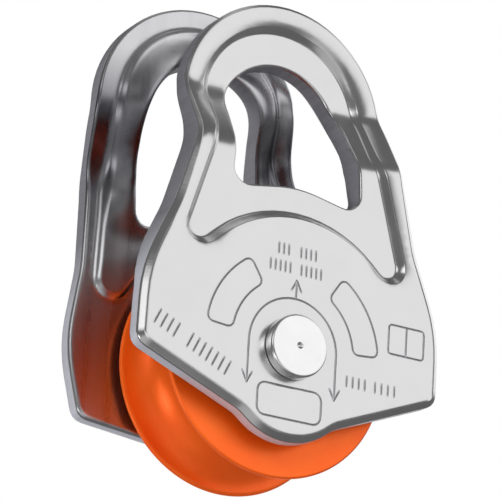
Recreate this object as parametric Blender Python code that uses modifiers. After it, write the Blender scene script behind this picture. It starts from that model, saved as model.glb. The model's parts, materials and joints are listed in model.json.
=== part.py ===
"""Swing-cheek rope pulley with one ball-bearing sheave.

Frame: the origin is the centre of the upper loops, midway between the two side
plates. +Z is up, the axle lies along Y below the origin and the front plate is
at -Y. Shapes are drawn about the axle, so every moving piece has its origin on
the axle's axis. Lengths are written in millimetres and scaled by MM.
"""
import math

import bmesh
import bpy
import numpy as np
from mathutils import Matrix, Vector

MM = 0.001
WELD = 0.01                  # points closer than this become one
COLLECTION = "rope_pulley"
GAP = 0.25                   # running and seating clearance between two pieces

# Layout along and below the loops
AXLE_DROP = 37.2             # loop centre down to the axle
INNER_HALF = 8.6             # mid-plane to a plate's inner face
PLATE_T = 3.0
OUTER_HALF = INNER_HALF + PLATE_T
REAR_SWING = math.radians(15.8)

# Side plate outline, right half from the top down: (x, z, fillet radius)
LOOP_R = 16.5
PLATE_CORNERS = (
    (LOOP_R, AXLE_DROP + LOOP_R, LOOP_R),
    (LOOP_R, 29.6, 12.0),
    (19.6, 18.0, 15.0),
    (24.1, 7.2, 22.0),
    (24.1, -3.5, 2.2),
    (7.5, -10.2, 5.0),
    (0.0, -16.4, 10.5),
)
# Carabiner eye: round top, rounded lower corners and a raised middle below
EYE_R = 9.65
EYE_TOP = 44.6
EYE_CORNERS = (
    (EYE_R, EYE_TOP, EYE_R),
    (EYE_R, 34.0, 15.0),
    (10.5, 22.3, 2.3),
    (0.0, 24.3, 18.0),
)
# Pressed pad round the eye; its lower edge is an arc about the axle
PAD_R = 12.3
PAD_CORNERS = (
    (PAD_R, AXLE_DROP + PAD_R, PAD_R),
    (PAD_R, 31.5, 10.0),
    (18.3, 9.9, 1.6),
    (0.0, 25.3, 19.4),
)
PAD_DEPTH = 1.0              # pressed towards the other plate
PAD_WALL = 1.2
PLATE_BEVEL = 0.55
JOG = 7.0                    # inward step of the upper loop
JOG_LOW, JOG_HIGH = 29.0, 39.0
JOG_ROUND = 1.2              # half height of each bend
DISH_R, DISH_DEPTH = 5.8, 0.9
DISH_FLOOR_R = 4.9
CUT_MARGIN = 1.0             # how far a cutter stands out of the sheet

# Axle
PIN_R = 3.5
HEAD_R = 4.5
HEAD_PROUD = 1.8
HEAD_BEVEL = 0.35
DIMPLE_R, DIMPLE_DEPTH = 0.5, 0.25
SPIGOT_R = 2.5
BORE_R = PIN_R + GAP
HEAD_FACE = OUTER_HALF + HEAD_PROUD
HEAD_SEAT = OUTER_HALF - DISH_DEPTH + GAP

# Sheave
FLANGE_R = 17.5
TREAD_R = 11.0
SHEAVE_HALF = 7.2
GROOVE_R = 6.55
RIM_ROUND = 0.35
BORE_CHAMFER = 0.6

# Ball bearing
BEARING_HALF = 3.0
BEARING_R = 8.5
INNER_SHOULDER_R = 5.2
OUTER_SHOULDER_R = 6.95
BALL_R = 1.45
BALL_COUNT = 8
PITCH_R = (INNER_SHOULDER_R + OUTER_SHOULDER_R) / 2
RACE_R = BALL_R + GAP
CAGE_IN_R, CAGE_OUT_R = 5.6, 6.55
CAGE_BACK, CAGE_OPEN = 2.15, -0.7
POCKET_DEPTH = 4.0           # length of the cutter through the cage's wall
SHIELD_IN_R, SHIELD_OUT_R = 5.45, 6.7
SHIELD_FRONT, SHIELD_BACK = 2.8, 2.4

# Washers and sleeves between the bearing and the plates
WASHER_T = 0.8
WASHER_R = 7.5
SLEEVE_R = 5.0

# Facets of a full turn
SHEAVE_STEPS = 48
RING_STEPS = 32
CAGE_STEPS = 48
POCKET_STEPS = 16
BALL_STEPS, BALL_RINGS = 12, 8


def clear_scene():
    for obj in list(bpy.data.objects):
        bpy.data.objects.remove(obj, do_unlink=True)


def new_collection(name):
    group = bpy.data.collections.new(name)
    bpy.context.scene.collection.children.link(group)
    return group


def new_material(name, colour, roughness, metallic):
    mat = bpy.data.materials.new(name)
    mat.use_nodes = True
    shader = mat.node_tree.nodes["Principled BSDF"]
    shader.inputs["Base Color"].default_value = (*colour, 1.0)
    shader.inputs["Roughness"].default_value = roughness
    shader.inputs["Metallic"].default_value = metallic
    return mat


# Outlines ---------------------------------------------------------------

def mirrored(corners):
    """A closed ring of corners from its right half, given from the top down."""
    left = [(-x, z, r) for x, z, r in reversed(corners) if x > 0]
    return list(corners) + left


def fillet(before, corner, after, radius, step):
    """Points of the arc that rounds one corner."""
    to_before = (before - corner).normalized()
    to_after = (after - corner).normalized()
    opening = to_before.angle(to_after)
    turn = math.pi - opening
    reach = radius / math.tan(opening / 2)
    bisector = (to_before + to_after).normalized()
    centre = corner + bisector * (radius / math.sin(opening / 2))
    start = corner + to_before * reach - centre
    count = max(2, math.ceil(turn / step))
    sense = 1.0 if to_before.cross(to_after) < 0 else -1.0
    points = []
    for i in range(count + 1):
        spin = Matrix.Rotation(sense * turn * i / count, 2)
        points.append(centre + spin @ start)
    return points


def rounded_outline(corners, step):
    """Closed outline with every corner replaced by its fillet arc."""
    ring = [(Vector((x, z)), r) for x, z, r in corners]
    points = []
    for i, (corner, radius) in enumerate(ring):
        before = ring[i - 1][0]
        after = ring[(i + 1) % len(ring)][0]
        for point in fillet(before, corner, after, radius, step):
            if not points or (point - points[-1]).length > WELD:
                points.append(point)
    if (points[0] - points[-1]).length < WELD:
        points.pop()
    return points


def flat_plate(name, outlines, face):
    """Sheet in the XZ plane with rounded edges; its outer face is at y = face."""
    curve = bpy.data.curves.new(name, "CURVE")
    curve.dimensions = "2D"
    curve.fill_mode = "BOTH"
    curve.extrude = (PLATE_T / 2 - PLATE_BEVEL) * MM
    curve.bevel_depth = PLATE_BEVEL * MM
    curve.bevel_resolution = 1
    curve.offset = -PLATE_BEVEL * MM
    for outline in outlines:
        spline = curve.splines.new("POLY")
        spline.points.add(len(outline) - 1)
        for point, (x, z) in zip(spline.points, outline):
            point.co = (x * MM, z * MM, 0.0, 1.0)
        spline.use_cyclic_u = True
    obj = bpy.data.objects.new(name, curve)
    bpy.context.scene.collection.objects.link(obj)
    obj.matrix_world = (Matrix.Translation((0, (face + PLATE_T / 2) * MM, 0))
                        @ Matrix.Rotation(math.pi / 2, 4, "X"))
    return curve_to_mesh(obj)


def evaluated_mesh(obj):
    bpy.context.view_layer.update()
    graph = bpy.context.evaluated_depsgraph_get()
    return bpy.data.meshes.new_from_object(obj.evaluated_get(graph))


def curve_to_mesh(obj):
    """Closed mesh object at the same place as the curve, which is removed."""
    name = obj.name
    mesh = evaluated_mesh(obj)
    mesh.transform(obj.matrix_world)
    bpy.data.objects.remove(obj, do_unlink=True)
    work = bmesh.new()
    work.from_mesh(mesh)
    bmesh.ops.remove_doubles(work, verts=work.verts, dist=WELD * MM)
    bmesh.ops.recalc_face_normals(work, faces=work.faces)
    work.to_mesh(mesh)
    work.free()
    return bpy.data.objects.new(name, mesh)


# Turned pieces ----------------------------------------------------------

def turned(name, profile, steps, closed):
    """Turn (radius, height) points about the axle; heights count towards the front.

    The profile runs down the outer side. A closed profile makes a ring.
    """
    mesh = bpy.data.meshes.new(name)
    points = [(r * MM, 0.0, h * MM) for r, h in profile]
    edges = [(i, i + 1) for i in range(len(points) - 1)]
    if closed:
        edges.append((len(points) - 1, 0))
    mesh.from_pydata(points, edges, [])
    obj = bpy.data.objects.new(name, mesh)
    screw = obj.modifiers.new("Turn", "SCREW")
    screw.axis = "Z"
    screw.angle = math.tau
    screw.steps = steps
    screw.render_steps = steps
    screw.use_merge_vertices = True
    screw.merge_threshold = WELD * MM
    screw.use_smooth_shade = True
    return obj


def ring_profile(inner, outer, front, back):
    """Plain ring; front and back are heights, front the higher one."""
    return [(inner, front), (outer, front), (outer, back), (inner, back)]


def arc_points(centre_r, centre_h, radius, start, end, count):
    """Arc from start to end degrees; 0 points outwards and 90 to the front."""
    points = []
    for i in range(count + 1):
        a = math.radians(start + (end - start) * i / count)
        points.append((centre_r + radius * math.cos(a), centre_h + radius * math.sin(a)))
    return points


def place(obj, group, mat, swing=0.0, turned_piece=True):
    """Put a piece on the axle and give it its material."""
    obj.data.materials.clear()
    obj.data.materials.append(mat)
    if obj.name not in group.objects:
        group.objects.link(obj)
    obj.location = (0.0, 0.0, -AXLE_DROP * MM)
    tilt = math.pi / 2 if turned_piece else 0.0
    obj.rotation_euler = (tilt, swing, 0.0)
    return obj


# Booleans ---------------------------------------------------------------

def combine(obj, other, operation, cutters):
    """Apply one exact Boolean and keep the other body as a hidden guide."""
    for item in (obj, other):
        if not item.users_collection:
            cutters.objects.link(item)
    other.hide_render = True
    other.display_type = "WIRE"
    modifier = obj.modifiers.new(operation.title(), "BOOLEAN")
    modifier.operation = operation
    modifier.solver = "EXACT"
    modifier.object = other
    mesh = evaluated_mesh(obj)
    obj.modifiers.clear()
    obj.data = mesh
    return obj


# Side plates ------------------------------------------------------------

def jog_at(height):
    """Inward shift of the sheet at a height above the axle, both bends rounded."""
    def bent(t):
        if t <= -JOG_ROUND:
            return 0.0
        if t >= JOG_ROUND:
            return t
        return (t + JOG_ROUND) ** 2 / (4 * JOG_ROUND)
    slope = JOG / (JOG_HIGH - JOG_LOW)
    return slope * (bent(height - JOG_LOW) - bent(height - JOG_HIGH))


def bend_levels():
    steps = (-1.0, -0.33, 0.33, 1.0)
    return [bend + s * JOG_ROUND for bend in (JOG_LOW, JOG_HIGH) for s in steps]


def jog_plate(mesh):
    """Cut the flat sheet along the bend lines, then shift it inwards."""
    work = bmesh.new()
    work.from_mesh(mesh)
    levels = bend_levels()
    for level in levels:
        bmesh.ops.bisect_plane(work, geom=work.verts[:] + work.edges[:] + work.faces[:],
                               dist=WELD * MM / 100, plane_co=(0, 0, level * MM),
                               plane_no=(0, 0, 1))
    shifts = [jog_at(level) for level in levels]
    for vert in work.verts:
        vert.co.y += float(np.interp(vert.co.z / MM, levels, shifts)) * MM
    work.to_mesh(mesh)
    work.free()


def grown(outline, distance):
    """The outline moved outwards by a distance; outlines here run clockwise."""
    moved = []
    for i, point in enumerate(outline):
        along = (outline[(i + 1) % len(outline)] - outline[i - 1]).normalized()
        moved.append(point + Vector((-along.y, along.x)) * distance)
    return moved


def plate_outlines():
    coarse, fine = math.radians(13), math.radians(20)
    outline = rounded_outline(mirrored(PLATE_CORNERS), coarse)
    pad = rounded_outline(mirrored(PAD_CORNERS), coarse)
    eye = rounded_outline(mirrored(EYE_CORNERS), fine)
    return outline, pad, eye


def plate_mesh(cutters):
    """Front side plate about the axle, outer face at y = -OUTER_HALF."""
    outline, pad, eye = plate_outlines()
    sheet = flat_plate("plate_rim", [outline, pad], -OUTER_HALF)
    boss = flat_plate("plate_pad", [grown(pad, PAD_WALL), eye], -OUTER_HALF + PAD_DEPTH)
    combine(sheet, boss, "UNION", cutters)
    pivot = turned("plate_pivot_cut", [
        (0.0, OUTER_HALF + CUT_MARGIN),
        (DISH_R + CUT_MARGIN, OUTER_HALF + CUT_MARGIN),
        (DISH_R, OUTER_HALF),
        (DISH_FLOOR_R, OUTER_HALF - DISH_DEPTH),
        (BORE_R, OUTER_HALF - DISH_DEPTH),
        (BORE_R, INNER_HALF - CUT_MARGIN),
        (0.0, INNER_HALF - CUT_MARGIN),
    ], RING_STEPS, closed=False)
    pivot.rotation_euler = (math.pi / 2, 0.0, 0.0)
    combine(sheet, pivot, "DIFFERENCE", cutters)
    jog_plate(sheet.data)
    mesh = sheet.data
    bpy.data.objects.remove(sheet, do_unlink=True)
    return mesh


def build_plates(group, cutters, mat):
    front = bpy.data.objects.new("front_side_plate", plate_mesh(cutters))
    rear_mesh = front.data.copy()
    rear_mesh.transform(Matrix.Scale(-1.0, 4, (0.0, 1.0, 0.0)))
    rear_mesh.flip_normals()
    rear = bpy.data.objects.new("rear_side_plate", rear_mesh)
    place(front, group, mat, turned_piece=False)
    place(rear, group, mat, swing=-REAR_SWING, turned_piece=False)


# Axle stack -------------------------------------------------------------

def build_axle(group, mat):
    """Headed pin whose stepped rear end carries the riveted rear head."""
    shank_end = -HEAD_SEAT + GAP
    pin = turned("axle_pin", [
        (0.0, HEAD_FACE - DIMPLE_DEPTH),
        (DIMPLE_R, HEAD_FACE),
        (HEAD_R - HEAD_BEVEL, HEAD_FACE),
        (HEAD_R, HEAD_FACE - HEAD_BEVEL),
        (HEAD_R, HEAD_SEAT),
        (PIN_R, HEAD_SEAT),
        (PIN_R, shank_end),
        (SPIGOT_R, shank_end),
        (SPIGOT_R, -HEAD_FACE + GAP),
        (0.0, -HEAD_FACE + GAP),
    ], RING_STEPS, closed=False)
    place(pin, group, mat)
    head = turned("axle_rear_head", [
        (SPIGOT_R + GAP, -HEAD_SEAT),
        (HEAD_R, -HEAD_SEAT),
        (HEAD_R, -HEAD_FACE + HEAD_BEVEL),
        (HEAD_R - HEAD_BEVEL, -HEAD_FACE),
        (SPIGOT_R + GAP, -HEAD_FACE),
    ], RING_STEPS, closed=True)
    place(head, group, mat)


def build_stack(group, washer_mat, sleeve_mat):
    """A thrust washer and a spacer sleeve on each side of the bearing."""
    washer_out = INNER_HALF - GAP
    washer_in = washer_out - WASHER_T
    for side, sign in (("front", 1), ("rear", -1)):
        spans = {
            "thrust_washer": (WASHER_R, washer_out, washer_in, washer_mat),
            "spacer_sleeve": (SLEEVE_R, washer_in - GAP, BEARING_HALF + GAP, sleeve_mat),
        }
        for piece, (radius, far, near, mat) in spans.items():
            top, bottom = max(sign * far, sign * near), min(sign * far, sign * near)
            ring = turned(f"{side}_{piece}", ring_profile(BORE_R, radius, top, bottom),
                          RING_STEPS, closed=True)
            place(ring, group, mat)


# Sheave -----------------------------------------------------------------

def sheave_profile():
    """Closed profile, down the outer side from the front face to the rear one."""
    rim_h = SHEAVE_HALF - RIM_ROUND
    groove_edge = math.degrees(math.asin((rim_h - RIM_ROUND) / GROOVE_R))
    groove = arc_points(TREAD_R + GROOVE_R, 0.0, GROOVE_R, 180 - groove_edge,
                        180 + groove_edge, 10)
    bore = BEARING_R + GAP
    front_side = [(bore, SHEAVE_HALF - BORE_CHAMFER), (bore + BORE_CHAMFER, SHEAVE_HALF)]
    front_side += arc_points(FLANGE_R - RIM_ROUND, rim_h, RIM_ROUND, 90, -60, 4)
    rear_side = [(r, -h) for r, h in reversed(front_side)]
    return front_side + groove + rear_side


def build_sheave(group, mat):
    sheave = turned("sheave", sheave_profile(), SHEAVE_STEPS, closed=True)
    place(sheave, group, mat)


# Ball bearing -----------------------------------------------------------

def race_ring(name, bore, shoulder, outwards):
    """Bearing ring with a grooved race on its outer side or in its bore."""
    reach = math.sqrt(RACE_R ** 2 - (PITCH_R - shoulder) ** 2)
    swing = math.degrees(math.asin(reach / RACE_R))
    if outwards:
        race = arc_points(PITCH_R, 0.0, RACE_R, 180 - swing, 180 + swing, 6)
        profile = [(bore, BEARING_HALF), (shoulder, BEARING_HALF)] + race
        profile += [(shoulder, -BEARING_HALF), (bore, -BEARING_HALF)]
    else:
        race = arc_points(PITCH_R, 0.0, RACE_R, -swing, swing, 6)
        profile = [(shoulder, BEARING_HALF), (bore, BEARING_HALF)]
        profile += [(bore, -BEARING_HALF), (shoulder, -BEARING_HALF)] + race
    return turned(name, profile, RING_STEPS, closed=True)


def ball_angles():
    return [math.tau * i / BALL_COUNT for i in range(BALL_COUNT)]


def build_balls(group, mat):
    """Equal balls on the pitch circle, which share one mesh."""
    work = bmesh.new()
    bmesh.ops.create_uvsphere(work, u_segments=BALL_STEPS, v_segments=BALL_RINGS,
                              radius=BALL_R * MM)
    shared = bpy.data.meshes.new("bearing_ball")
    work.to_mesh(shared)
    work.free()
    for i, angle in enumerate(ball_angles()):
        ball = bpy.data.objects.new(f"bearing_ball_{i + 1}", shared)
        place(ball, group, mat)
        ball.location.x += PITCH_R * math.cos(angle) * MM
        ball.location.z += PITCH_R * math.sin(angle) * MM


def build_cage(group, cutters, mat):
    """Crown cage: a ring with a pocket round each ball, open towards the rear."""
    cage = turned("bearing_cage", ring_profile(CAGE_IN_R, CAGE_OUT_R, CAGE_BACK, CAGE_OPEN),
                  CAGE_STEPS, closed=True)
    tool = bmesh.new()
    for angle in ball_angles():
        spoke = (Matrix.Rotation(angle, 4, "Z") @ Matrix.Translation((PITCH_R * MM, 0, 0))
                 @ Matrix.Rotation(math.pi / 2, 4, "Y"))
        bmesh.ops.create_cone(tool, cap_ends=True, segments=POCKET_STEPS,
                              radius1=RACE_R * MM, radius2=RACE_R * MM,
                              depth=POCKET_DEPTH * MM, matrix=spoke)
    mesh = bpy.data.meshes.new("cage_pocket_cut")
    tool.to_mesh(mesh)
    tool.free()
    combine(cage, bpy.data.objects.new("cage_pocket_cut", mesh), "DIFFERENCE", cutters)
    cutters.objects.unlink(cage)
    place(cage, group, mat)


def build_bearing(group, cutters, steel, cage_mat):
    place(race_ring("bearing_inner_ring", BORE_R, INNER_SHOULDER_R, True), group, steel)
    place(race_ring("bearing_outer_ring", BEARING_R, OUTER_SHOULDER_R, False), group, steel)
    for side, (top, bottom) in (("front", (SHIELD_FRONT, SHIELD_BACK)),
                                ("rear", (-SHIELD_BACK, -SHIELD_FRONT))):
        shield = turned(f"bearing_{side}_shield",
                        ring_profile(SHIELD_IN_R, SHIELD_OUT_R, top, bottom),
                        RING_STEPS, closed=True)
        place(shield, group, steel)
    build_balls(group, steel)
    build_cage(group, cutters, cage_mat)


def main():
    clear_scene()
    group = new_collection(COLLECTION)
    cutters = new_collection("cutters")
    plate_mat = new_material("plate_aluminium", (0.78, 0.78, 0.80), 0.28, 1.0)
    sheave_mat = new_material("sheave_orange", (0.85, 0.14, 0.01), 0.35, 0.6)
    axle_mat = new_material("axle_steel", (0.85, 0.85, 0.86), 0.22, 1.0)
    bearing_mat = new_material("bearing_steel", (0.62, 0.63, 0.65), 0.15, 1.0)
    sleeve_mat = new_material("sleeve_aluminium", (0.70, 0.70, 0.72), 0.35, 1.0)
    polymer_mat = new_material("washer_polymer", (0.08, 0.08, 0.09), 0.5, 0.0)
    cage_mat = new_material("cage_polymer", (0.75, 0.70, 0.58), 0.5, 0.0)
    build_plates(group, cutters, plate_mat)
    build_axle(group, axle_mat)
    build_stack(group, polymer_mat, sleeve_mat)
    build_sheave(group, sheave_mat)
    build_bearing(group, cutters, bearing_mat, cage_mat)


if __name__ == "__main__":
    main()
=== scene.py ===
import json
import math

import bmesh
import bpy
import numpy as np
from mathutils import Matrix, Vector
from mathutils.geometry import delaunay_2d_cdt


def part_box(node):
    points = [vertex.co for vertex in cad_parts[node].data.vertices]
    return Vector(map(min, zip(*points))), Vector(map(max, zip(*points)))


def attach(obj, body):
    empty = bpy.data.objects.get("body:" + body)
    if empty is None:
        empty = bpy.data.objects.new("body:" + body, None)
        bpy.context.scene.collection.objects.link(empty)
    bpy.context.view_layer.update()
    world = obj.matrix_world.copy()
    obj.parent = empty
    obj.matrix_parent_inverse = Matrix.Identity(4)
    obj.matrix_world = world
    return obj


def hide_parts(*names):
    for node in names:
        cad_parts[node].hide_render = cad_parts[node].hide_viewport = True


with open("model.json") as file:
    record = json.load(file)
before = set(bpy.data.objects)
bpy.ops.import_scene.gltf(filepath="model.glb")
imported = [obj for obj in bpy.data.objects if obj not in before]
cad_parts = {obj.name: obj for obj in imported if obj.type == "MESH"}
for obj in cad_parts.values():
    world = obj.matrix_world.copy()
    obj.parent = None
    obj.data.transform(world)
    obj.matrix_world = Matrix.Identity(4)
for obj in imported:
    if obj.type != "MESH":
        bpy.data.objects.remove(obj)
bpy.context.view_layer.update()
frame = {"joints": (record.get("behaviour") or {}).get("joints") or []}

MM = 0.001
FAR, TINY = 1e9, 1e-9        # beyond any distance here, and in place of a zero
AXLE = Vector(next(j for j in frame["joints"] if j["name"] == "rear_plate_swing")["pos_m"])
OUTER_HALF = -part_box("front_side_plate")[0].y / MM     # mid-plane to a plate's outer face
HEAD_FACE = -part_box("axle_pin")[0].y / MM
SHEAVE_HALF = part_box("sheave")[1].y / MM
FLANGE_R = (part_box("sheave")[1].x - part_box("sheave")[0].x) / 2 / MM
WASHER_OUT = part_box("rear_thrust_washer")[1].y / MM
WASHER_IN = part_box("rear_thrust_washer")[0].y / MM
SLEEVE_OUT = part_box("rear_spacer_sleeve")[1].y / MM
SLEEVE_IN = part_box("rear_spacer_sleeve")[0].y / MM
BEARING_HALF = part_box("bearing_inner_ring")[1].y / MM
REAR_SWING = math.radians(15.8)

# Side plates: outlines as corners (x, z, fillet radius), right half, top down
PLATE_T = 3.0
LOOP_TOP = 53.7
LOOP_R = 16.5
LOOP_Z = LOOP_TOP - LOOP_R
PLATE_CORNERS = (
    (LOOP_R, LOOP_TOP, LOOP_R),
    (LOOP_R, 29.6, 12.0),
    (19.6, 18.0, 15.0),
    (24.1, 7.2, 22.0),
    (24.1, -3.5, 2.2),
    (7.5, -10.2, 5.0),
    (0.0, -16.4, 10.5),
)
EYE_R = 9.65
EYE_CORNERS = (
    (EYE_R, 44.6, EYE_R),
    (EYE_R, 34.0, 15.0),
    (10.5, 22.3, 2.3),
    (0.0, 24.3, 18.0),
)
PAD_R = 12.3
PAD_CORNERS = (                # the whole ring, clockwise from the top right
    (PAD_R, LOOP_Z + PAD_R, PAD_R),
    (PAD_R, 31.5, 10.0),
    (18.3, 10.9, 1.6),
    (0.0, 26.4, 19.4),
    (-18.3, 10.1, 1.6),
    (-PAD_R, 31.5, 10.0),
    (-PAD_R, LOOP_Z + PAD_R, PAD_R),
)
PAD_DEPTH = 1.4              # of the pressed pad, on the outer face
# Same pad on the inner face: heights above the axle and how far it stands out there
BOSS_HEIGHTS = (12.0, 18.0, 27.0, 33.0)
BOSS_DEPTHS = (0.6, 0.9, 0.9, 0.6)
BOSS_START, BOSS_WIDTH = 0.3, 1.2
# Inner face swells out round the eye: heights above the axle and how far
SWELL_HEIGHTS = (21.0, 26.0, 30.0, 36.0, 44.0)
SWELL_DEPTHS = (0.0, 1.3, 2.2, 2.0, 1.2)
SWELL_WIDTH = 5.0
# Step at the pad's edge: (distance outside it, share of the depth)
PAD_STEP = ((-0.12, 1.0), (0.0, 0.965), (0.12, 0.86), (0.66, 0.07), (0.71, 0.02), (0.76, 0.0))
STEP_WIDTH = 1.25            # the step's stretch, and more of it along the arc round the sheave
ARC_STEP_WIDTH, ARC_STEP_R, ARC_STEP_FADE = 0.45, 23.5, 1.5
# Rim's slow roll above that step, deeper round the loop. It comes in over (start, width)
ROLL_START, ROLL_WIDTH = 0.7, 3.0
ROLL_HEIGHTS, ROLL_DEPTHS = (32.0, 42.0), (0.45, 0.75)
ROLL_FROM_MIDDLE, ROLL_FROM_ARC, ROLL_FROM_FOOT = (10.0, 4.0), (27.0, 4.0), (8.5, 3.5)
# Coined edge: (distance from the edge, drop), a chamfer and then a fine crease
EDGE_STEP = ((0.0, 0.80), (0.03, 0.66), (0.10, 0.56), (0.25, 0.448), (0.50, 0.261), (0.85, 0.0),
             (0.98, 0.06), (1.12, 0.0))
EDGE_FINER, EDGE_FINER_FADE = 0.55, (14.0, 24.0)     # it shrinks upwards over (start, width)
EYE_ROUND, INNER_ROUND = 0.4, 0.5                    # rounded edges of the eye and the inner rim
JOG = 7.0                      # inward shift of the loop
OUTER_BENDS = (29.0, 39.0)     # heights of the two bends
INNER_BENDS = (30.4, 39.0)     # on the drawn inner face, where the sheet is thinner
BEND_SLANT = 0.06              # rise of the bend lines towards the right
BEND_SIDES = (-12.0, 12.0)
BEND_REACH = (2.2, 1.4)        # half length of the outer bends at those two sides
INNER_REACH = 3.2              # half length of the inner bends
# Left edge's inner flange: heights above the axle and how far it stands in there
FLANGE_HEIGHTS = (6.0, 14.0, 31.0, 39.0)
FLANGE_DEPTHS = (0.0, 2.4, 2.4, 0.3)
FLANGE_START, FLANGE_WIDTH = 0.6, 3.4
FLANGE_SIDE = (6.0, 6.0)       # comes in over (start, width) to the left
BORE_R = 3.75
DISH_R, DISH_FLOOR_R, DISH_DEPTH = 9.3, 4.6, 0.15     # shallow cone round an axle head
MARK_HALF, MARK_DEPTH = 0.16, 0.10                    # half width and depth of a stroke
MARK_GUARD = 0.10              # flat strip kept beside a stroke
MARK_SHIFT = (-0.10, 0.12)     # of the whole pattern from the axle
# Points of the plate's mesh: spacing along an outline and in the grid, and rows beside
# the outlines, outwards from the eye and the pad and inwards from the rim
POINT_STEP = 0.75
PAD_POINT_STEP = 0.5
GRID_STEP = 0.95
EYE_ROWS = (0.03, 0.1, 0.2, 0.4)
PAD_ROWS = (-0.3, 0.36, 1.15)
DISH_ROWS = (DISH_FLOOR_R, 5.2, 5.9)
LOOSE_PAD_ROWS, LOOSE_RIM_ROW, LOOSE_EYE_ROW = (1.55, 2.0), 1.5, 0.9
# Least distance of loose points to others, and what is added to it beside a mark
ROW_GAP, GRID_GAP, MARK_EXTRA = 0.35, 0.5, 0.1
CIRCLE_POINTS = 72
GRID_LOW, GRID_HALF_WIDTH = -14.0, 25.0
ROW_RATIO = 0.866            # row spacing of a grid of equal triangles
MESH_TOLERANCE = 1e-4
BORE_SHARE = 0.998           # triangles nearer the axle than this share of the bore are cut
ETCHED_SHARE = 0.8           # of a stroke's half width, where its own material ends

# Etched marks. Arrows round the axle and up from it, then the curved outlines beside
# them: radii, turns in degrees and corner radius
ARROW_R, ARROW_END, ARROW_TOP = 7.0, -6.3, 9.7
SLOT_RADII, SLOT_TURNS, SLOT_CORNER = (9.75, 13.85), ((5, 57), (123, 175)), 0.9
# Plain boxes: left, top, right, bottom, corner radius
LOWER_BOX = (-5.2, -5.75, 5.0, -10.4, 1.2)
BOOK_BOX = (15.45, 6.6, 21.35, 2.3, 0.3)
BOOK_FOLD = 18.4
OPEN_LINE_STEP, CLOSED_LINE_STEP = 0.45, 0.5
# Rows of strokes: (x, z) of the first and last, their number and height
WORDS = (
    ((-3.2, 13.9), (-1.6, 13.9), 3, 1.5),
    ((0.4, 13.9), (2.8, 13.9), 4, 1.5),
    ((-4.4, 11.35), (-1.2, 11.35), 5, 1.5),
    ((0.6, 11.35), (3.8, 11.35), 5, 1.5),
    ((-21.3, 0.1), (-18.3, -1.27), 4, 2.2),
    ((-16.1, -2.27), (-10.1, -5.0), 7, 2.2),
    ((8.9, -3.15), (11.9, -3.15), 4, 1.5),
    ((13.6, -3.15), (16.8, -3.15), 4, 1.5),
)


# Outlines ---------------------------------------------------------------

def mirrored(corners):
    """Both halves of an outline given as its right half."""
    left = [(-x, z, r) for x, z, r in reversed(corners) if x > 0]
    return list(corners) + left


def fillet(before, corner, after, radius, step):
    """Points of the arc that rounds one corner."""
    to_before = (before - corner).normalized()
    to_after = (after - corner).normalized()
    opening = to_before.angle(to_after)
    turn = math.pi - opening
    reach = radius / math.tan(opening / 2)
    bisector = (to_before + to_after).normalized()
    centre = corner + bisector * (radius / math.sin(opening / 2))
    start = corner + to_before * reach - centre
    count = max(3, math.ceil(turn / step))
    sense = 1.0 if to_before.cross(to_after) < 0 else -1.0
    return [centre + Matrix.Rotation(sense * turn * i / count, 2) @ start
            for i in range(count + 1)]


SAME_POINT = 0.02            # points of a polyline closer than this are one
DIAGONAL = 0.707             # sine and cosine of 45 degrees


def rounded(corners, step=math.radians(6), closed=True):
    """Polyline through the corners, each replaced by its fillet; radius 0 stays sharp."""
    ring = [(Vector((x, z)), r) for x, z, r in corners]
    points = []
    for i, (corner, radius) in enumerate(ring):
        if radius == 0 or (not closed and i in (0, len(ring) - 1)):
            arc = [corner]
        else:
            arc = fillet(ring[i - 1][0], corner, ring[(i + 1) % len(ring)][0], radius, step)
        points += [p for p in arc if not points or (p - points[-1]).length > SAME_POINT]
    if closed and (points[0] - points[-1]).length < SAME_POINT:
        points.pop()
    return points


def even(points, spacing, closed=True):
    """The polyline resampled at nearly even steps."""
    ring = points + [points[0]] if closed else points
    xy = np.array([tuple(p) for p in ring])
    run = np.concatenate(([0.0], np.cumsum(np.hypot(*np.diff(xy, axis=0).T))))
    count = max(3, round(run[-1] / spacing))
    at = np.linspace(0.0, run[-1], count + 1)
    if closed:
        at = at[:-1]
    return np.column_stack([np.interp(at, run, xy[:, k]) for k in (0, 1)])


def beside(points, distance, closed=True):
    """Points moved to the left of a polyline's direction: outwards on a clockwise ring."""
    if closed:
        along = np.roll(points, -1, 0) - np.roll(points, 1, 0)
    else:
        along = np.gradient(points, axis=0)
    along /= np.linalg.norm(along, axis=1)[:, None]
    return points + np.column_stack([-along[:, 1], along[:, 0]]) * distance


def capsule(line, radius):
    """Closed outline at a distance round an open line, with round ends."""
    sides = [beside(line, radius, closed=False), beside(line, -radius, closed=False)[::-1]]
    caps = []
    for tip, inner in ((line[-1], line[-2]), (line[0], line[1])):
        out = (tip - inner) / np.linalg.norm(tip - inner) * radius
        left = np.array([-out[1], out[0]])
        caps.append(np.array([tip + out * c + left * s for s, c in
                              ((DIAGONAL, DIAGONAL), (0.0, 1.0), (-DIAGONAL, DIAGONAL))]))
    return np.concatenate([sides[0], caps[0], sides[1], caps[1]])


def ring_inside(points, ring):
    """Whether each point is inside a closed polyline, by ray casting."""
    x, z = points[:, 0][:, None], points[:, 1][:, None]
    a, b = ring, np.roll(ring, -1, 0)
    crosses = (a[:, 1] > z) != (b[:, 1] > z)
    rise = np.where(b[:, 1] == a[:, 1], TINY, b[:, 1] - a[:, 1])
    where = a[:, 0] + (z - a[:, 1]) * (b[:, 0] - a[:, 0]) / rise
    return (crosses & (x < where)).sum(1) % 2 == 1


def distance_to(points, line, closed=True):
    """Distance from each point to a polyline."""
    a = line if closed else line[:-1]
    b = np.roll(line, -1, 0) if closed else line[1:]
    ab = b - a
    best = np.full(len(points), FAR)
    for start, span in zip(a, ab):
        rel = points - start
        t = np.clip(rel @ span / max(span @ span, TINY), 0.0, 1.0)
        best = np.minimum(best, np.hypot(*(rel - t[:, None] * span).T))
    return best


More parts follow.
